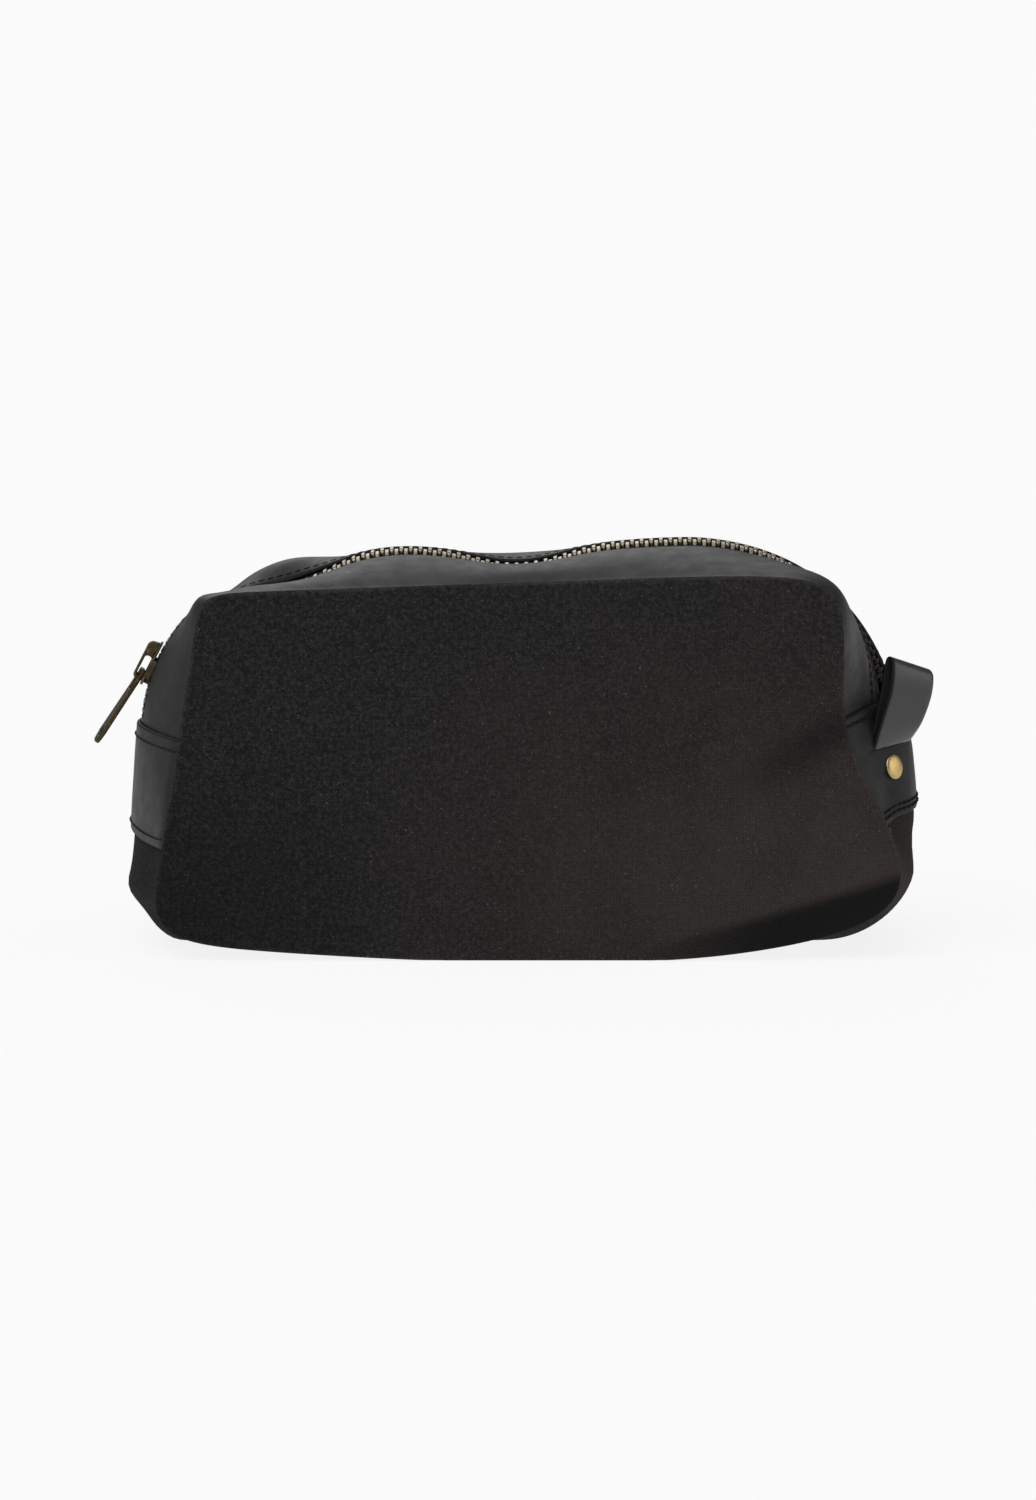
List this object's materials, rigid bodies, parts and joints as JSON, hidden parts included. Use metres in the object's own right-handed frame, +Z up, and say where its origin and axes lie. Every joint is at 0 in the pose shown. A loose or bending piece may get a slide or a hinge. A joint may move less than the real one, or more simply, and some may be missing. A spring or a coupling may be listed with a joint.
{
  "type": "wash bag",
  "caption": "Zipped wash bag: canvas panels and base, leather top strips and end tabs, a metal zip over both shoulders and a riveted loop handle at one end.",
  "frame": {"origin": "on the floor under the middle of the bag's length and depth", "axes": "+X along the bag towards the loop handle, +Y from the front panel to the back panel, +Z up"},
  "size_m": [0.2705, 0.1158, 0.1272],
  "materials": {
    "waxed_canvas": "waxed, close weave, slightly worn",
    "leather": "smooth, semi-gloss, painted edges",
    "zip_tape": "woven tape",
    "zip_teeth": "antique, polished tips",
    "slider_metal": "antique",
    "rivet_brass": "satin",
    "lining": "plain weave"
  },
  "bodies": {
    "bag": {"front_panel": "waxed_canvas", "back_panel": "waxed_canvas", "bottom_gusset": "waxed_canvas", "left_end_tab": "leather", "right_end_tab": "leather", "handle_tail": "leather", "front_strip_left": "leather", "front_tape_left": "zip_tape", "front_teeth_left": "zip_teeth", "front_strip_right": "leather", "front_tape_right": "zip_tape", "front_teeth_right": "zip_teeth", "rear_strip_left": "leather", "rear_tape_left": "zip_tape", "rear_teeth_left": "zip_teeth", "rear_strip_right": "leather", "rear_tape_right": "zip_tape", "rear_teeth_right": "zip_teeth", "zip_top_stops": "zip_teeth", "zip_bottom_stop": "zip_teeth", "rivet_cap": "rivet_brass", "rivet_back": "rivet_brass", "front_lining": "lining", "back_lining": "lining", "gusset_lining": "lining"},
    "front_lip": {"front_strip_middle": "leather", "front_tape_middle": "zip_tape", "front_teeth_middle": "zip_teeth"},
    "rear_lip": {"rear_strip_middle": "leather", "rear_tape_middle": "zip_tape", "rear_teeth_middle": "zip_teeth"},
    "slider": {"slider_body": "slider_metal", "slider_bail": "slider_metal"},
    "pull": {"zip_pull": "slider_metal"},
    "loop": {"handle_loop": "leather"}
  },
  "joints": [
    {"name": "slider_travel", "type": "hinge", "parent": "bag", "child": "slider", "pos_m": [-0.062, 0, 0.0645], "axis": [0, -1, 0], "range_deg": [-40, 9]},
    {"name": "pull_swing", "type": "hinge", "parent": "slider", "child": "pull", "pos_m": [-0.12135, 0, 0.08584], "axis": [0, 1, 0], "range_deg": [-14, 115]},
    {"name": "loop_swing", "type": "hinge", "parent": "bag", "child": "loop", "pos_m": [0.11876, -0.02064, 0.06634], "axis": [0.6226, 0.7821, 0.0259], "range_deg": [-3, 40]},
    {"name": "front_lip_opens", "type": "hinge", "parent": "bag", "child": "front_lip", "pos_m": [-0.00407, -0.0462, 0.1176], "axis": [0.9994, 0, 0.0349], "range_deg": [0, 60]},
    {"name": "rear_lip_opens", "type": "hinge", "parent": "bag", "child": "rear_lip", "pos_m": [-0.00381, 0.04655, 0.11205], "axis": [-0.9995, 0, -0.0316], "range_deg": [0, 60]}
  ],
  "couplings": [
    {"joint": "rear_lip_opens", "follows": "front_lip_opens", "ratio": 1}
  ]
}
